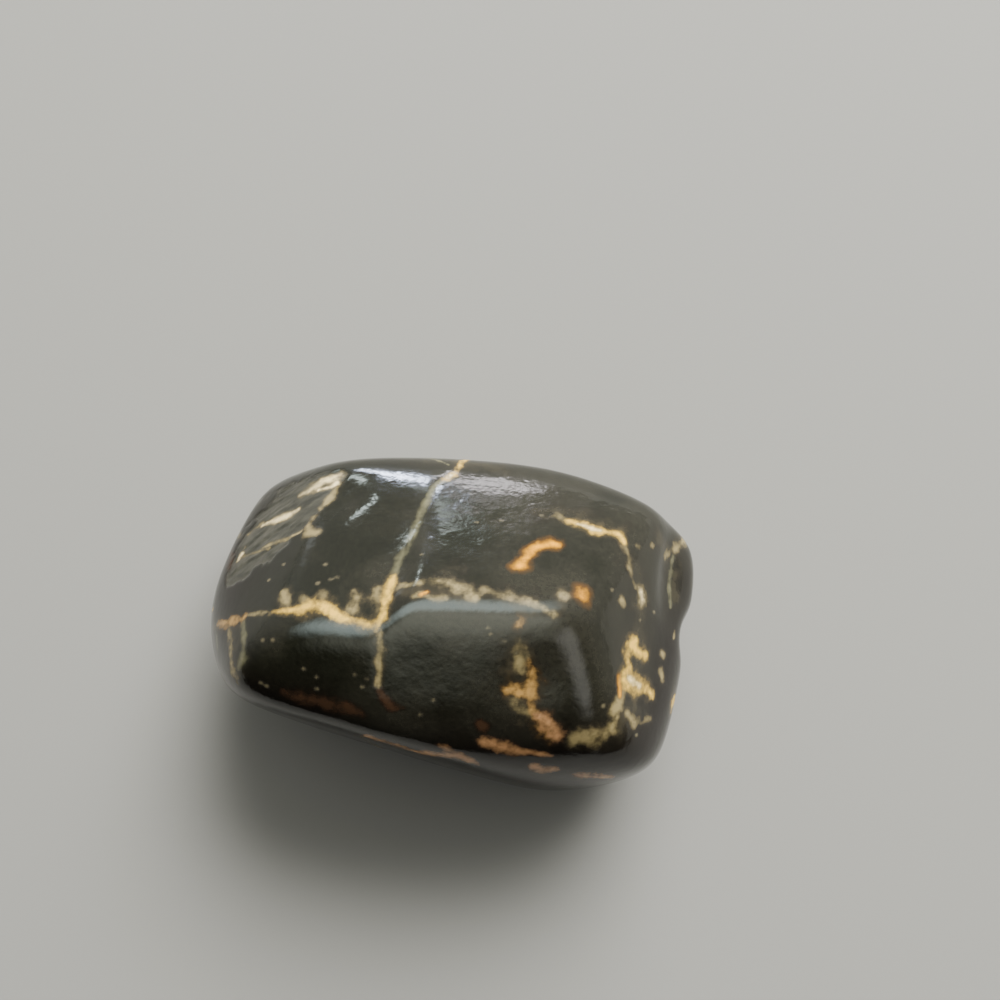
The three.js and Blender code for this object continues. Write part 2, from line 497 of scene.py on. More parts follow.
# %% Veins and bands on the hidden sides: turn, lift, width in mm
CREAM_HIDDEN = {
    "cross vein, down the back": [
        (97, 12, 0.4),
        (95, 4, 0.5),
        (92, -6, 0.6),
        (87, -20, 0.5),
        (80, -34, 0.6),
        (66, -46, 0.4),
    ],
    "long vein, round the left end": [
        (-171, -1, 0.4),
        (-168, -12, 0.7),
        (-160, -25, 0.7),
        (-144, -33, 0.5),
        (-124, -40, 0.6),
        (-104, -46, 0.4),
    ],
    "large patch, down the right end": [
        (-14, 0, 1.2),
        (-10, -10, 1.4),
        (-16, -20, 1.0),
        (-28, -27, 0.7),
        (-42, -32, 0.4),
    ],
    "back, low streak": [(56, -2, 0.4), (66, -9, 0.7), (76, -12, 0.6), (86, -20, 0.4)],
    "underside": [(-70, -62, 0.5), (-20, -70, 0.7), (40, -66, 0.6), (80, -52, 0.5)],
}

QUARTZ_HIDDEN = {
    "left end, core": [(-167, -12, 0.3), (-160, -25, 0.4), (-150, -31, 0.3)],
}

CLAY_HIDDEN = {
    "back branch": [(100, 6, 0.3), (108, 0, 0.4), (118, -8, 0.4)],
    "underside": [(-150, -50, 0.4), (-120, -64, 0.5), (-60, -72, 0.5)],
}

TAN_HIDDEN = {
    "cross vein, down the front": [
        (-112, 24, 0.35),
        (-110, 8, 0.4),
        (-106, -8, 0.5),
        (-98, -24, 0.5),
        (-88, -38, 0.4),
    ],
    "branch at the back": [(93, -6, 0.4), (104, -10, 0.5), (114, -14, 0.5), (124, -20, 0.4)],
    "right end, back": [(22, 6, 0.5), (28, -6, 0.9), (36, -16, 0.8), (46, -24, 0.5)],
    "left end, low": [(170, -4, 0.6), (162, -16, 0.9), (150, -26, 0.6)],
    "front, low": [(-60, -14, 0.5), (-72, -22, 0.7), (-88, -28, 0.5)],
}

print(len(CREAM_HIDDEN) + len(QUARTZ_HIDDEN) + len(CLAY_HIDDEN) + len(TAN_HIDDEN), "hidden veins")

# %% Iron spots and haze on the hidden sides, and the rest of the split facet
ORANGE_HIDDEN = {
    "back spot": [(118, -14, 0.8), (121, -17, 0.8)],
    "back bar": [(70, -10, 0.5), (74, -14, 0.7), (79, -16, 0.6)],
    "right end spot": [(8, -12, 0.8), (11, -14, 0.8)],
    "front spot": [(-128, -16, 0.7), (-131, -18, 0.7)],
    "low spot": [(-36, -30, 0.9), (-33, -33, 0.8)],
}

OCHRE_HIDDEN = {
    "front, low": [(-124, -14, 0.9), (-132, -20, 1.1), (-138, -24, 0.7)],
    "right end": [(6, -10, 0.9), (12, -15, 1.2)],
    "round the back spot": [(116, -13, 1.1), (122, -18, 1.1)],
}

RUST_HIDDEN = {
    "front band": [(-120, -2, 1.0), (-104, -10, 1.2), (-84, -14, 1.2), (-64, -12, 0.9)],
    "left end band": [(178, 0, 0.7), (166, -10, 1.0), (150, -18, 0.8)],
    "back band": [(48, -14, 0.8), (70, -22, 1.2), (96, -26, 1.0)],
}

ROSE_HIDDEN = {
    "front, low streak": [(-90, -16, 0.4), (-82, -20, 0.6), (-72, -21, 0.5)],
    "back, low streak": [(100, -18, 0.4), (110, -22, 0.6), (122, -24, 0.4)],
}

HAZE_HIDDEN = {
    "back, middle": [(80, 6, 2.0), (100, 2, 2.4), (124, -4, 2.0)],
    "right end": [(-20, -6, 3.0), (4, -8, 3.0), (26, -8, 2.4)],
    "left end": [(160, -8, 2.4), (178, -12, 2.4)],
    "underside": [(-40, -66, 3.0), (60, -64, 3.0), (150, -60, 2.4)],
}

SPLIT_HIDDEN = {
    "over the side": [(148, 8, 2.6), (156, 4, 3.6), (165, 1, 2.6)],
}
print(len(ORANGE_HIDDEN) + len(OCHRE_HIDDEN) + len(RUST_HIDDEN) + len(ROSE_HIDDEN), "hidden iron strokes")

# %% [markdown]
# Each stroke is cut into short steps, every step is placed on the stone, and each corner of the mesh
# takes the closest stroke's falloff. The result is stored as one attribute for each mineral, which the
# material reads.

# %% Helpers that lay strokes on the stone
STEP = 0.12 * MM  # between points along a stroke
LEAST_CLOSENESS = -3.0


def points_along(stroke, place):
    """Rows of x, y, z and half width in metres, along one stroke."""
    rows = []
    for (a1, b1, wide1), (a2, b2, wide2) in zip(stroke, stroke[1:]):
        start, end = place(a1, b1), place(a2, b2)
        if start is None or end is None:
            continue
        steps = max(1, round((end - start).length / STEP))
        for step in range(steps + 1):
            share = step / steps
            spot = place(a1 + (a2 - a1) * share, b1 + (b2 - b1) * share)
            if spot is not None:
                rows.append((*spot, (wide1 + (wide2 - wide1) * share) / 2 * MM))
    return rows


def closeness(corners, seen, hidden):
    """For each corner: 1 on the middle line of a stroke, 0 at its edge, and less outside it."""
    rows = []
    for stroke in seen.values():
        rows += points_along(stroke, where_seen)
    for stroke in hidden.values():
        rows += points_along(stroke, where_facing)
    best = np.full(len(corners), LEAST_CLOSENESS, np.float32)
    for x, y, z, half_width in rows:
        distance = np.linalg.norm(corners - np.array((x, y, z), np.float32), axis=1)
        np.maximum(best, 1 - distance / half_width, out=best)
    return best


def corners_of(thing):
    """The places of a mesh's corners, in metres."""
    places = np.zeros(len(thing.data.vertices) * 3, np.float32)
    thing.data.vertices.foreach_get("co", places)
    return places.reshape(-1, 3)


def paint(thing, name, values):
    """Stores one number for each corner, for the material to read."""
    attribute = thing.data.attributes.new(name, "FLOAT", "POINT")
    attribute.data.foreach_set("value", np.asarray(values, np.float32))


# %% Lay the strokes of each mineral
corners = corners_of(agate)
MINERAL_STROKES = {
    "haze": (HAZE_SEEN, HAZE_HIDDEN),
    "rust": (RUST_SEEN, RUST_HIDDEN),
    "clay": (CLAY_SEEN, CLAY_HIDDEN),
    "quartz_and_glint": (QUARTZ_AND_GLINT_SEEN, QUARTZ_HIDDEN),
    "tan": (TAN_SEEN, TAN_HIDDEN),
    "rose": (ROSE_SEEN, ROSE_HIDDEN),
    "ochre": (OCHRE_SEEN, OCHRE_HIDDEN),
    "orange": (ORANGE_SEEN, ORANGE_HIDDEN),
    "cream": (CREAM_SEEN, CREAM_HIDDEN),
}
for mineral, (seen, hidden) in MINERAL_STROKES.items():
    values = closeness(corners, seen, hidden)
    paint(agate, mineral, values)
    print(mineral, "covers", round(100 * float((values > 0).mean()), 1), "% of the corners")

# %% [markdown]
# ## Specks
#
# Tiny pale crystals and dust-filled pits, about a quarter of a millimetre wide, show as points all over the
# dark stone. The ones that the photograph shows are placed, and 70 more are scattered on the hidden sides
# with a fixed seed, so that each run gives the same stone. The placed ones are partly such pale points and
# partly painted glints that the pits catch, drawn as pale dots.

# %% Place the specks
SPECK_WIDTH = 0.26  # mm
SEED = 11
HIDDEN_SPECKS = 70
HIDDEN_LIFTS = (-70, 5)  # degrees: from near the underside to just above the widest part
HIDDEN_WIDTHS = (0.6, 1.2)  # shares of the speck width
DOT_PIXELS = 1  # a speck is a stroke that is only this long
DOT_TURN = 0.5  # degrees

chance = np.random.default_rng(SEED)
seen_speck_and_glint_strokes = {}
for name, pixels in SPECKS_AND_GLINTS_SEEN.items():
    for number, (x, y) in enumerate(pixels):
        seen_speck_and_glint_strokes[f"{name} {number}"] = [(x, y, SPECK_WIDTH), (x + DOT_PIXELS, y, SPECK_WIDTH)]
hidden_specks = {}
for number in range(HIDDEN_SPECKS):
    turn = chance.uniform(-180, 180)
    lift = chance.uniform(*HIDDEN_LIFTS)
    wide = SPECK_WIDTH * chance.uniform(*HIDDEN_WIDTHS)
    hidden_specks[str(number)] = [(turn, lift, wide), (turn + DOT_TURN, lift, wide)]
specks_and_glints = closeness(corners, seen_speck_and_glint_strokes, hidden_specks)
paint(agate, "speck", specks_and_glints)
print(len(seen_speck_and_glint_strokes) + len(hidden_specks), "specks_and_glints")

# %% [markdown]
# ## The small relief
#
# A polished stone isn't perfectly smooth. The split facet keeps the steps of its layers, the healed crack
# lies a little lower than the hard stone round it, and the other stones in the tumbler have left shallow
# bruises. This relief is real shape, so it is made in the mesh and not only in the material. Each kind is
# carved in the same way: a weight for each corner says where the surface is cut, as in weight painting,
# and a Displace modifier cuts it.


# %% Helpers that carve by weight and make a soft ramp
LEAST_WEIGHT = 0.002  # a corner with less weight than this is left as it is


def carve(thing, name, weights, depth):
    """Cuts into an object by depth millimetres where the weight is 1, and not at all where it is 0."""
    group = thing.vertex_groups.new(name=name)
    touched = np.nonzero(weights > LEAST_WEIGHT)[0]
    for corner in touched:
        group.add([int(corner)], float(min(1, weights[corner])), "REPLACE")
    modify(thing, "DISPLACE", strength=-depth * MM, mid_level=0, vertex_group=name)
    thing.vertex_groups.remove(thing.vertex_groups[name])
    print("carved the", name, "at", len(touched), "corners")


def soft_step(values, low, high):
    """0 below low, 1 above high, and a soft ramp between them."""
    share = np.clip((values - low) / (high - low), 0, 1)
    return share * share * (3 - 2 * share)


# %% [markdown]
# ### The split facet
#
# At the back of its left end the stone broke along its own layers, and the polish never reached the
# bottom of the break. That face is a flight of thin ledges, with splinters between them, inside a ragged
# rim. Sculpting by hand wouldn't come out the same twice, and a bump in the material would leave the mesh
# smooth. So the facet is carved from a formula: first where it lies, and then a height for each corner.

# %% Where the split facet lies
SPLIT_TURN, SPLIT_LIFT = 151, 47  # the way the split facet looks
FACING = (0.62, 0.78)  # how squarely a corner looks the facet's way, from outside it to inside it
RIM = (-0.08, 0.26)  # how close a corner is to the facet's strokes, from outside it to inside it
RAGGED_WAVE = 1.1  # mm, the size of the bays in the facet's broken rim
RAGGED_DEPTH = 0.28  # how far they cut into it, as closeness
FRACTAL = (0.8, 2.0, 3)  # how fast the noise's octaves fade, how much finer each is, and how many there are
LEAST_SPLIT = 0.01  # a corner with less of the split facet than this gets no layers

normals = np.zeros(len(agate.data.vertices) * 3, np.float32)
agate.data.vertices.foreach_get("normal", normals)
normals = normals.reshape(-1, 3)
looks_split = normals @ np.array(compass(SPLIT_TURN, SPLIT_LIFT))
near_split = closeness(corners, SPLIT_SEEN, SPLIT_HIDDEN)
places = corners.astype(float)
bays = np.array([noise.fractal(Vector(place / (RAGGED_WAVE * MM)), *FRACTAL) for place in places])
on_split = soft_step(looks_split, *FACING) * soft_step(near_split + RAGGED_DEPTH * bays, *RIM)
paint(agate, "split", on_split)
print("split facet:", int((on_split > LEAST_SPLIT).sum()), "corners")

# %% The ledges of its layers
LAYER_TURN = 27  # the compass angle along which the layers run
LAYER_PITCH = 1.5  # mm from one step to the next
LAYER_DEPTH = 0.075  # mm
LAYER_LEAN = 0.5  # mm that the layers shift sideways for each mm of height
LEDGE_DEPTH = 0.05  # the split facet lies this much lower than the polish beside it, in mm
WAVER_FRACTAL = (0.9, 2.0, 3)
WAVER_DEPTH = 1.3  # mm that a layer's edge strays from a straight line
# Noise that follows the layers: its waves in each mm along and across them, and the slice that is read.
WAVER = (0.2, 0.4, 3.1)
LEDGES_COME_AND_GO = (0.4, 0.8, 7.7)
SPLINTERS = (0.7, 3.0, 1.4)
LEDGE_SHARE, LEDGE_SWING = 0.5, 0.9  # how high the ledges are, and how much that comes and goes
SPLINTER_BASE, SPLINTER_SHARE = 0.3, 0.25  # the level of the splinters between the ledges, and their height

across_layers = np.array(compass(LAYER_TURN + 90, 0))
along_layers = np.array(compass(LAYER_TURN, 0))


def noise_place(along, across, waves):
    """Where to read a noise that follows the layers."""
    return Vector((along * waves[0], across * waves[1], waves[2]))


def layer_height(corner):
    """The height of the split layers at a corner, from 0 to 1: ledges that start, fade and stop again."""
    x, y, z = (corner / MM).tolist()
    across = float(across_layers @ (x, y, z)) - LAYER_LEAN * z
    along = float(along_layers @ (x, y, z))
    waver = noise.fractal(noise_place(along, across, WAVER), *WAVER_FRACTAL)
    phase = (across + WAVER_DEPTH * waver) / LAYER_PITCH
    ledge = (phase - math.floor(phase)) ** 2
    strength = LEDGE_SHARE + LEDGE_SWING * noise.noise(noise_place(along, across, LEDGES_COME_AND_GO))
    splinters = noise.fractal(noise_place(along, across, SPLINTERS), *FRACTAL)
    return max(0.0, min(1.0, ledge * strength + SPLINTER_BASE + SPLINTER_SHARE * splinters))


layers = np.zeros(len(corners))
for corner in np.nonzero(on_split > LEAST_SPLIT)[0]:
    layers[corner] = layer_height(corners[corner])
carve(agate, "split layers", layers * on_split, LAYER_DEPTH)
carve(agate, "split facet", on_split, LEDGE_DEPTH)

# %% [markdown]
# ### The healed crack
#
# An old crack crosses the stone, and minerals have filled it. They are a little softer than agate, so the
# tumbler wore them down further. A bevelled edge loop could make the dip, but no loop of the grid follows
# the crack. So the strokes that paint its veins also say where the surface dips.

# %% Carve the healed crack
CRACK_DEPTH = 0.02  # mm
CRACK_SIDES = (-0.4, 0.6)  # closeness to its veins, from outside the dip to its bottom

crack_on_top = CLAY_SEEN["upper cross vein"] + CREAM_SEEN["cross vein"][1:-1]
crack_on_top += TAN_SEEN["cross vein below the corner"]
crack_in_front = TAN_HIDDEN["cross vein, down the front"]
crack = closeness(corners, {"on top": crack_on_top}, {"in front": crack_in_front})
carve(agate, "healed crack", soft_step(crack, *CRACK_SIDES), CRACK_DEPTH)

# %% [markdown]
# ### Bruises and waves
#
# Stones knock against each other in the tumbler, and each knock leaves a shallow round bruise, up to a
# millimetre wide. The polish between them is never quite flat either. Both could be left to the material,
# but as real shape they are in the mesh too. The bruises are scattered by the same seeded chance as the
# specks, and the waves are a noise.

# %% Bruises and the slow waves of the polish
BRUISES = 70
BRUISE_DEPTH = 0.025  # mm
BRUISE_LIFTS = (-60, 8)  # degrees: low on the sides, which the photograph hardly shows
BRUISE_HALF_WIDTHS = (0.18, 0.5)  # mm
BRUISE_SHARES = (0.2, 1)  # of the full depth
BRUISE_BOWL = 0.7  # 1 is a cone, and less is a bowl with steeper sides
WAVE_LENGTH = 2.6  # mm
WAVE_DEPTH = 0.04  # mm
WAVE_SWING = 0.6  # how far the waves go from half their depth

bruise = np.zeros(len(corners))
for number in range(BRUISES):
    place = np.array(where_facing(chance.uniform(-180, 180), chance.uniform(*BRUISE_LIFTS)))
    half_width = chance.uniform(*BRUISE_HALF_WIDTHS) * MM
    fall = 1 - np.linalg.norm(corners - place, axis=1) / half_width
    np.maximum(bruise, np.clip(fall, 0, 1) ** BRUISE_BOWL * chance.uniform(*BRUISE_SHARES), out=bruise)
carve(agate, "bruises", bruise, BRUISE_DEPTH)

waves = np.array([noise.noise(Vector(place / (WAVE_LENGTH * MM))) for place in places])
carve(agate, "waves", np.clip(0.5 + WAVE_SWING * waves, 0, 1), WAVE_DEPTH)

# %% [markdown]
# ## The material: polished agate
#
# Agate is chalcedony, a very fine-grained quartz. It doesn't conduct, so metallic is 0, and its IOR is
# 1.54. Carbon and iron stain the body nearly black, and weeks of polishing leave a wax-like gloss that
# mirrors the room softly. The veins could be an image, or noise alone. Strokes with noise are chosen:
# they keep the real stone's pattern, and they still show detail from close by.


# %% Helpers for colours and nodes
def linear(hex_colour):
    """An sRGB hex colour as the linear colour that a shader takes. The bare numbers are sRGB's own."""
    channels = [int(hex_colour[start : start + 2], 16) / 255 for start in (1, 3, 5)]
    bent = [c / 12.92 if c <= 0.04045 else ((c + 0.055) / 1.055) ** 2.4 for c in channels]
    return (*bent, 1)


def add_node(tree, kind, output=0, settings=None, inputs=None):
    """Adds a node and gives back one of its outputs. An input is a value, or the output of another node."""
    new = tree.nodes.new(kind)
    for option, value in (settings or {}).items():
        setattr(new, option, value)
    for socket, value in (inputs or {}).items():
        if isinstance(value, bpy.types.NodeSocket):
            tree.links.new(value, new.inputs[socket])
        else:
            new.inputs[socket].default_value = value
    return new.outputs[output] if len(new.outputs) else new


# %% Short names for kinds of node, their options and their sockets
NOISE, RANGE, MATH, MIX = "ShaderNodeTexNoise", "ShaderNodeMapRange", "ShaderNodeMath", "ShaderNodeMix"
VECTOR_MATH = "ShaderNodeVectorMath"
SOFTLY = {"interpolation_type": "SMOOTHSTEP"}
COLOURS = {"data_type": "RGBA"}
FACTOR, BELOW, ABOVE, MIXED = 0, 6, 7, 2  # the sockets of a Mix node that mixes colours

# %% The material, still empty
# Polished chalcedony: nearly black, with a wax-like gloss that shows a window as a soft bright band.
polished = bpy.data.materials.new("polished black agate")
polished.use_nodes = True
tree = polished.node_tree
tree.nodes.clear()
print("material:", polished.name)

# %% [markdown]
# ### Patterns
#
# All patterns are noise in millimetres, read from the stone's own place in space, so that they run
# through it as they do in real stone and don't stretch over its edges.

# %% Patterns, measured in millimetres
CLOUD = 6.0  # mm: the smoky clouds of the dark body
PATCH = 1.6  # mm: where a vein's filling is dense or thin
FRAY = 0.8  # mm: the ragged edges of the veins
GRAIN = 0.25  # mm: the mottle, drawn coarser than agate's own grain, which is too fine to show
NOISE_LOW, NOISE_HIGH = 0.3, 0.7  # most of a noise lies between these

object_place = add_node(tree, "ShaderNodeTexCoord", "Object")
in_mm = add_node(tree, VECTOR_MATH, 0, {"operation": "SCALE"}, {"Vector": object_place, "Scale": 1 / MM})
clouds = add_node(tree, NOISE, inputs={"Vector": in_mm, "Scale": 1 / CLOUD, "Detail": 5, "Roughness": 0.6})
patches = add_node(tree, NOISE, inputs={"Vector": in_mm, "Scale": 1 / PATCH, "Detail": 3, "Roughness": 0.6})
fray = add_node(tree, NOISE, inputs={"Vector": in_mm, "Scale": 1 / FRAY, "Detail": 3, "Roughness": 0.5})
grain = add_node(tree, NOISE, inputs={"Vector": in_mm, "Scale": 1 / GRAIN, "Detail": 3, "Roughness": 0.6})
print("patterns of", CLOUD, PATCH, FRAY, "and", GRAIN, "mm")

# %% [markdown]
# ### The dark body
#
# The stain in the stone isn't even. Where it is thinner, the olive black clears to smoky clouds. Low down
# in front the body turns a darker brown black: this is partly the stone's brown tint and partly painted
# shade, where the lower front faces away from the light. One flat colour would look like plastic, so two
# noises and two slow gradings are mixed, all of them faint.

# %% The dark body
OLIVE_BLACK = linear("#171810")
SMOKE = linear("#28271F")
# The brown black low in front is partly the stone's brown tint and partly painted shade.
SHADED_BROWN_BLACK = linear("#120C08")
TOWARDS_RIGHT = (0.012, 0, 0)  # the smoke gains this much for each mm to the right
SMOKE_STARTS, SMOKE_FULL = 0.38, 0.66
UP_AND_BACK = (0, 0.5, 1)  # mm along this direction grade the body from brown to olive
OLIVE_ABOVE, SHADED_BROWN_BELOW = 15.0, 10.0  # mm along it
UNEVEN = 6.0  # mm that clouds shift this grading up or down
MOTTLE_DARK, MOTTLE_PALE = 0.75, 1.25

to_right = add_node(tree, VECTOR_MATH, "Value", {"operation": "DOT_PRODUCT"}, {0: in_mm, 1: TOWARDS_RIGHT})
smoke = add_node(tree, MATH, 0, {"operation": "ADD"}, {0: clouds, 1: to_right})
smoky = add_node(tree, RANGE, 0, SOFTLY, {0: smoke, 1: SMOKE_STARTS, 2: SMOKE_FULL})
body = add_node(tree, MIX, MIXED, COLOURS, {FACTOR: smoky, BELOW: OLIVE_BLACK, ABOVE: SMOKE})
# Partly brown tint and partly painted shade: towards the lower front the body darkens to brown black.
rise = add_node(tree, VECTOR_MATH, "Value", {"operation": "DOT_PRODUCT"}, {0: in_mm, 1: UP_AND_BACK})
uneven = add_node(tree, MATH, 0, {"operation": "MULTIPLY_ADD"}, {0: clouds, 1: UNEVEN, 2: rise})
browner_and_shaded = add_node(tree, RANGE, 0, SOFTLY, {0: uneven, 1: OLIVE_ABOVE, 2: SHADED_BROWN_BELOW})
body = add_node(tree, MIX, MIXED, COLOURS, {FACTOR: browner_and_shaded, BELOW: body, ABOVE: SHADED_BROWN_BLACK})
mottle_range = {0: grain, 1: NOISE_LOW, 2: NOISE_HIGH, 3: MOTTLE_DARK, 4: MOTTLE_PALE}
mottle = add_node(tree, RANGE, 0, None, mottle_range)
body = add_node(tree, VECTOR_MATH, 0, {"operation": "SCALE"}, {"Vector": body, "Scale": mottle})
print("body colours:", [round(channel, 4) for channel in OLIVE_BLACK[:3]], "and smoke")

# %% [markdown]
# ### The break on the split facet
#
# A break shows agate's fine grain instead of a polish, so it is paler than the dark body. Its grey is
# partly that paler grain and partly a painted reflection of the grey room round it. A plain grey would do
# from afar. Noise that is drawn out along the layers is chosen, because it shows which way they run.

# %% The broken grain of the split facet, with a painted reflection in its grey
# Both greys are partly the broken grain's paler colour and partly a painted reflection of the grey room.
SPLIT_DARK_AND_REFLECTION = linear("#2C2C25")
SPLIT_PALE_AND_REFLECTION = linear("#504E44")
STREAK_LONG, STREAK_WIDE = 3.0, 0.45  # mm
PALE_STARTS, PALE_FULL = 0.38, 0.68

on_split_facet = add_node(tree, "ShaderNodeAttribute", "Fac", {"attribute_name": "split"})
to_layers = (0, 0, -math.radians(LAYER_TURN))
along_facet = add_node(tree, "ShaderNodeMapping", inputs={"Vector": in_mm, "Rotation": to_layers})
streak_size = (STREAK_LONG, STREAK_WIDE, STREAK_WIDE)
drawn_out = add_node(tree, VECTOR_MATH, 0, {"operation": "DIVIDE"}, {0: along_facet, 1: streak_size})
streaks = add_node(tree, NOISE, inputs={"Vector": drawn_out, "Scale": 1, "Detail": 5, "Roughness": 0.62})
pale = add_node(tree, RANGE, 0, None, {0: streaks, 1: PALE_STARTS, 2: PALE_FULL})
split_grain_and_reflection = add_node(tree, MIX, MIXED, COLOURS, {FACTOR: pale, BELOW: SPLIT_DARK_AND_REFLECTION, ABOVE: SPLIT_PALE_AND_REFLECTION})
body = add_node(tree, MIX, MIXED, COLOURS, {FACTOR: on_split_facet, BELOW: body, ABOVE: split_grain_and_reflection})
print("streaks of", STREAK_LONG, "by", STREAK_WIDE, "mm on the split facet")

# %% [markdown]
# ### The minerals
#
# Each mineral is laid over the ones before it, as paint would be. The stored closeness, shifted by the
# fray noise, says where it lies. Its colour goes from a dark edge, where the filling is thin and the
# black stone shows through, to a bright core. The bright colours are stronger here than on a real vein,
# because the view transform makes bright colours paler.

# %% The minerals, from the deepest haze to the brightest cream
MINERALS = {
    # mineral: (colour at the edge, colour in the middle, how frayed, how soft, how patchy)
    "haze": ("#221F18", "#363226", 1.6, 2.2, 0.5),
    "rust": ("#1A110B", "#3C2A1C", 1.4, 1.5, 0.4),
    "clay": ("#383729", "#6E6B50", 0.9, 1.2, 0.3),
    "tan": ("#423B2B", "#94855A", 1.4, 1.8, 0.6),
    "ochre": ("#3F2F1A", "#B68E4E", 1.5, 1.9, 0.5),
    "rose": ("#3A2A1E", "#BC8E60", 1.0, 1.2, 0.3),
    "orange": ("#6E4A18", "#FFAE00", 0.9, 1.9, 0.1),
    "cream": ("#5A4E34", "#F6C850", 1.4, 2.0, 0.2),
    # quartz: partly the pale mineral and partly painted glints of the polish
    "quartz_and_glint": ("#86774F", "#FFE9AE", 1.3, 1.5, 0.3),
    # speck: pale points, partly painted glints
    "speck": ("#37342A", "#6A624A", 0.5, 1.4, 0.2),
}

FRAY_LOW, FRAY_HIGH = 0.25, 0.75  # the part of the fray noise's range that is used
THIN, DENSE = 0.35, 0.6  # the patch noise where a filling is thinnest and where it is full
GRAIN_SHARE = 0.9  # how much the grain shifts a filling between its two colours
EDGE_COLOUR, CORE_COLOUR = 0.35, 1.45  # closeness and grain at which a filling has each colour

veins = 0.0
for mineral, (edge, core, frayed, softness, patchy) in MINERALS.items():
    near = add_node(tree, "ShaderNodeAttribute", "Fac", {"attribute_name": mineral})
    fray_range = {0: fray, 1: FRAY_LOW, 2: FRAY_HIGH, 3: -frayed / 2, 4: frayed / 2}
    wander = add_node(tree, RANGE, 0, None, fray_range)
    ragged = add_node(tree, MATH, 0, {"operation": "ADD"}, {0: near, 1: wander})
    inside = add_node(tree, RANGE, 0, SOFTLY, {0: ragged, 1: -softness / 2, 2: softness / 2})
    dense = add_node(tree, RANGE, 0, SOFTLY, {0: patches, 1: THIN, 2: DENSE, 3: 1 - patchy, 4: 1})
    cover = add_node(tree, MATH, 0, {"operation": "MULTIPLY"}, {0: inside, 1: dense})
    grained = add_node(tree, MATH, 0, {"operation": "MULTIPLY_ADD"}, {0: grain, 1: GRAIN_SHARE, 2: ragged})
    depth = add_node(tree, RANGE, 0, None, {0: grained, 1: EDGE_COLOUR, 2: CORE_COLOUR})
    edge_and_core = {FACTOR: depth, BELOW: linear(edge), ABOVE: linear(core)}
    colour = add_node(tree, MIX, MIXED, COLOURS, edge_and_core)
    body = add_node(tree, MIX, MIXED, COLOURS, {FACTOR: cover, BELOW: body, ABOVE: colour})
    if mineral in ("tan", "cream", "quartz_and_glint"):
        veins = add_node(tree, MATH, 0, {"operation": "MAXIMUM"}, {0: veins, 1: cover})
print(len(MINERALS), "minerals")

# %% [markdown]
# ### The gloss
#
# Agate takes a high polish, but no tumbler leaves it as even as glass. The gloss is best on the dark
# stone, poorer on the soft fillings, and missing on the split facet. A slow dapple, too shallow for the
# mesh, breaks up the reflections as the real polish does.

# %% Gloss, the slow dapple of the polish and the finest grain
BEST_POLISH, SMEARED_POLISH = 0.07, 0.13  # roughness
VEIN_DULLS = 0.10  # soft fillings take a poorer polish
SPLIT_DULLS = 0.30  # a broken grain takes none
DAPPLE = 0.7  # mm
DAPPLE_DEPTH = 0.017  # mm
GRAIN_DEPTH = 0.003  # mm
CHALCEDONY_IOR = 1.54

smear_range = {0: patches, 1: NOISE_LOW, 2: NOISE_HIGH, 3: BEST_POLISH, 4: SMEARED_POLISH}
smears = add_node(tree, RANGE, 0, None, smear_range)
duller = add_node(tree, MATH, 0, {"operation": "MULTIPLY_ADD"}, {0: veins, 1: VEIN_DULLS, 2: smears})
split_gloss = {0: on_split_facet, 1: SPLIT_DULLS, 2: duller}
roughness = add_node(tree, MATH, 0, {"operation": "MULTIPLY_ADD"}, split_gloss)
dapple = add_node(tree, NOISE, inputs={"Vector": in_mm, "Scale": 1 / DAPPLE, "Detail": 2, "Roughness": 0.5})
dapple_relief = {"Strength": 1.0, "Distance": DAPPLE_DEPTH * MM, "Height": dapple}
dappled = add_node(tree, "ShaderNodeBump", inputs=dapple_relief)
grain_relief = {"Strength": 1.0, "Distance": GRAIN_DEPTH * MM, "Height": grain, "Normal": dappled}
surface_normal = add_node(tree, "ShaderNodeBump", inputs=grain_relief)
chalcedony = {"Base Color": body, "Roughness": roughness, "IOR": CHALCEDONY_IOR, "Metallic": 0.0}
shine = add_node(tree, "ShaderNodeBsdfPrincipled", inputs={**chalcedony, "Normal": surface_normal})
add_node(tree, "ShaderNodeOutputMaterial", inputs={"Surface": shine})
agate.data.materials.clear()
agate.data.materials.append(polished)
print("material:", polished.name, "with", len(tree.nodes), "nodes")

# %% [markdown]
# ## The table
#
# The table is a plain sheet of matt grey paper, wide enough to fill the picture from any side. It takes
# the stone's soft shadow and gives its lower rim something to mirror.

# %% The floor
FLOOR_SIDE = 800 * MM
PAPER_ROUGHNESS = 0.9
PAPER_SHINE = 0.2

bpy.ops.mesh.primitive_plane_add(size=FLOOR_SIDE)
floor = bpy.context.object
floor.name = "floor"
# Matt paper: an even pale ground without a shine, so that nothing on it draws the eye from the stone.
floor_paper = bpy.data.materials.new("matt pale grey paper")
floor_paper.use_nodes = True
paper = floor_paper.node_tree.nodes["Principled BSDF"]
paper.inputs["Base Color"].default_value = linear("#989893")
paper.inputs["Roughness"].default_value = PAPER_ROUGHNESS
paper.inputs["Specular IOR Level"].default_value = PAPER_SHINE
floor.data.materials.append(floor_paper)
print("floor:", FLOOR_SIDE / MM, "mm")

# %% [markdown]
# ## The lights
#
# A dark polished stone shows little but reflections. One big soft box would do for a picture, but it
# would whiten the whole polish. So each worn face gets what it mirrored in the real room: a bright low
# window behind the stone, its upper part as thin bands, a pale wall, the sky, a ceiling and a dim
# reflector on the right. Each is a soft box at the turn and lift that this face mirrors to the camera.
#
# The boxes are of two kinds. Two of them light the colours of the stone and the paper, and are left out
# of the polish. The rest are seen only in the polish: real windows are far brighter than a matt surface
# near them looks, and light from all of these boxes would wash out the stone's dark front.

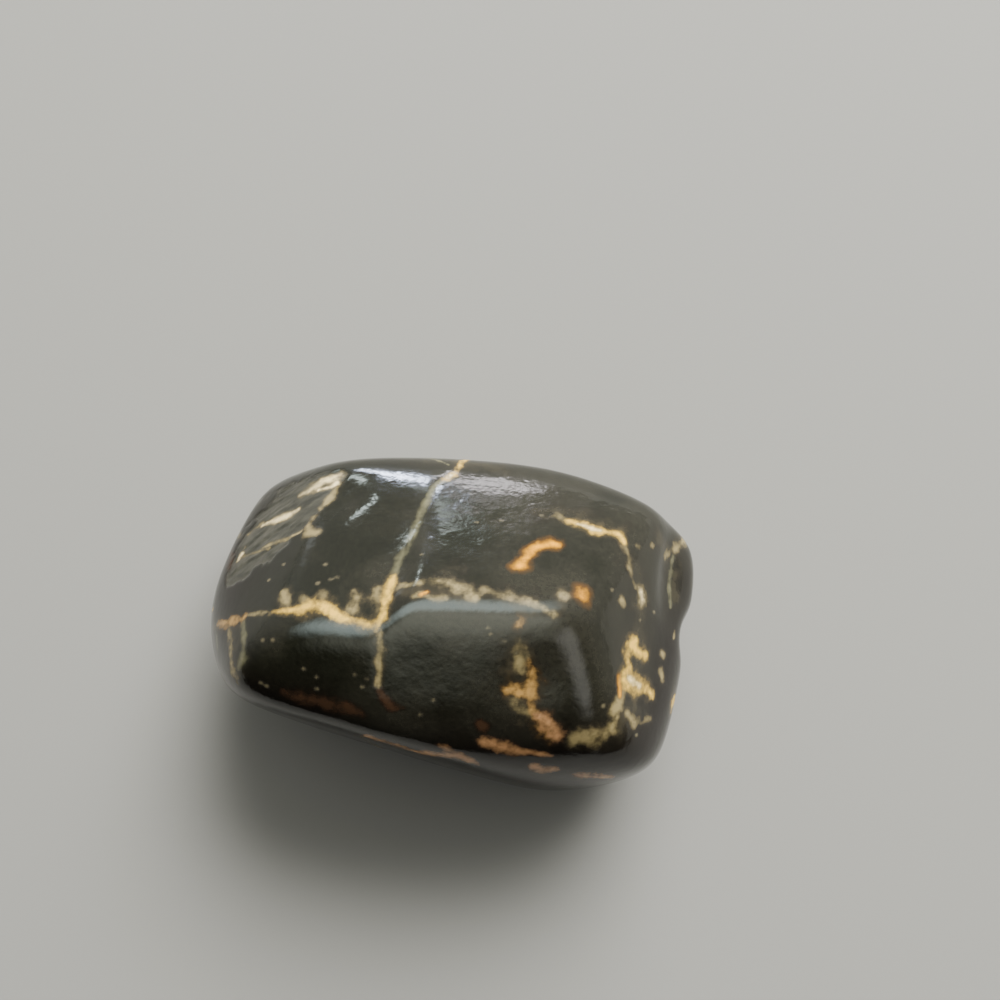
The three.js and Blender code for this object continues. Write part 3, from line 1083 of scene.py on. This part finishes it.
# %% The soft boxes
PANELS = {
    # panel: (turn, lift, degrees wide, degrees tall, glow, colour, what it lights)
    "key from the back": (75, 40, 66, 42, 29.0, "#FFFDFA", "stone"),
    "fill from the front": (-70, 40, 90, 50, 0.6, "#F8F8FF", "stone"),
    "ceiling": (-115, 82, 64, 72, 2.5, "#F2F6E4", "polish"),
    "window": (107, 2.4, 17, 5.4, 95, "#DCE8FF", "polish"),
    "wall beside the window": (96.5, 0, 9, 5, 18, "#F4EEF0", "polish"),
    "shelf on the wall": (97.5, 5.2, 7, 1.4, 7, "#F4EEF0", "polish"),
    "upper window": (101.5, 8.6, 9, 1.0, 20, "#E2F2EE", "polish"),
    "upper window, left": (117, 13.6, 7, 5, 20, "#E2F2EE", "polish"),
    "skylight": (125, 61, 84, 40, 5.6, "#E0F4F0", "polish"),
    "side window": (138, 4, 14, 9, 1.2, "#E6EEF4", "polish"),
    "right reflector": (-32, 49, 40, 36, 1.8, "#F4F2EA", "polish"),
}
print(len(PANELS), "soft boxes")

# %% Helpers that make one soft box
PANEL_DISTANCE = 400 * MM
EDGE = 0.8  # a soft box fades over this share of the way from its edge to its middle


def soften_edges(lamp, axes):
    """Fades a lamp from its middle to its edges. Each axis is a vector from the middle to one edge."""
    glow_tree = lamp.data.node_tree
    spot = add_node(glow_tree, "ShaderNodeNewGeometry", "Position")
    subtract = {"operation": "SUBTRACT"}
    from_middle = add_node(glow_tree, VECTOR_MATH, 0, subtract, {0: spot, 1: lamp.location})
    strength = 1.0
    for axis in axes:
        along = Vector(axis) / Vector(axis).length_squared
        dot = {"operation": "DOT_PRODUCT"}
        share = add_node(glow_tree, VECTOR_MATH, "Value", dot, {0: from_middle, 1: along})
        size = add_node(glow_tree, MATH, 0, {"operation": "ABSOLUTE"}, {0: share})
        fade = add_node(glow_tree, RANGE, 0, SOFTLY, {0: size, 1: 1.0, 2: 1 - EDGE})
        strength = add_node(glow_tree, MATH, 0, {"operation": "MULTIPLY"}, {0: fade, 1: strength})
    glow_tree.links.new(strength, glow_tree.nodes["Emission"].inputs["Strength"])


def add_panel(name, turn, lift, wide, tall, glow, colour, lights_up):
    """Adds a soft box that the stone's middle sees at a turn and a lift, with its size in degrees."""
    direction = compass(turn, lift)
    bpy.ops.object.light_add(type="AREA", location=middle + direction * PANEL_DISTANCE)
    lamp = bpy.context.object
    lamp.name = name
    facing = direction.to_track_quat("Z", "Y")
    lamp.rotation_euler = facing.to_euler()
    lamp.data.shape = "RECTANGLE"
    lamp.data.size = 2 * PANEL_DISTANCE * math.tan(math.radians(wide) / 2)
    lamp.data.size_y = 2 * PANEL_DISTANCE * math.tan(math.radians(tall) / 2)
    lamp.data.energy = glow * math.pi * lamp.data.size * lamp.data.size_y  # watts that give this glow
    lamp.data.color = linear(colour)[:3]
    lamp.data.use_nodes = True
    sideways = facing @ Vector((lamp.data.size / 2, 0, 0))
    upwards = facing @ Vector((0, lamp.data.size_y / 2, 0))
    soften_edges(lamp, [sideways, upwards])
    lamp.visible_camera = False
    lamp.visible_glossy = lights_up == "polish"
    lamp.visible_diffuse = lights_up == "stone"
    print("light:", name, "at", turn, lift)


# %% Set up the soft boxes
for panel, setup in PANELS.items():
    add_panel(panel, *setup)

# %% [markdown]
# ## The room
#
# The rest of the room is a soft glow from all round, dim in front and brighter towards the window at the
# back. A picture of a real room could do this too, but two values are easier to follow. Where the camera
# sees past the paper, it meets an even pale backdrop.

# %% The room
DARK_SIDE_GLOW = 0.05
WINDOW_SIDE_GLOW = 0.85
BACKDROP_GLOW = 0.8
DARK_UP_TO, BRIGHT_FROM = -0.4, 0.6  # -1 points to the front of the room and 1 to its back

world = bpy.data.worlds.new("room, brighter towards the back")
bpy.context.scene.world = world
world.use_nodes = True
room = world.node_tree
looking = add_node(room, "ShaderNodeTexCoord", "Generated")
back = add_node(room, "ShaderNodeSeparateXYZ", "Y", inputs={0: looking})
glow_range = {0: back, 1: DARK_UP_TO, 2: BRIGHT_FROM, 3: DARK_SIDE_GLOW, 4: WINDOW_SIDE_GLOW}
room_glow = add_node(room, RANGE, 0, SOFTLY, glow_range)
seen_directly = add_node(room, "ShaderNodeLightPath", "Is Camera Ray")
shown = add_node(room, MIX, 0, None, {0: seen_directly, 2: room_glow, 3: BACKDROP_GLOW})
room.nodes["Background"].inputs["Color"].default_value = linear("#F2F2E8")
room.links.new(shown, room.nodes["Background"].inputs["Strength"])
print("room light from", DARK_SIDE_GLOW, "in front to", WINDOW_SIDE_GLOW, "at the back")

# %% [markdown]
# ## Handing over
#
# The wrapped stone now stands for the CAD solid: it rides on the same body and hides the plain solid.

# %% Hand over the piece
bpy.data.objects.remove(guide)
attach(agate, "root")
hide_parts("agate_stone")
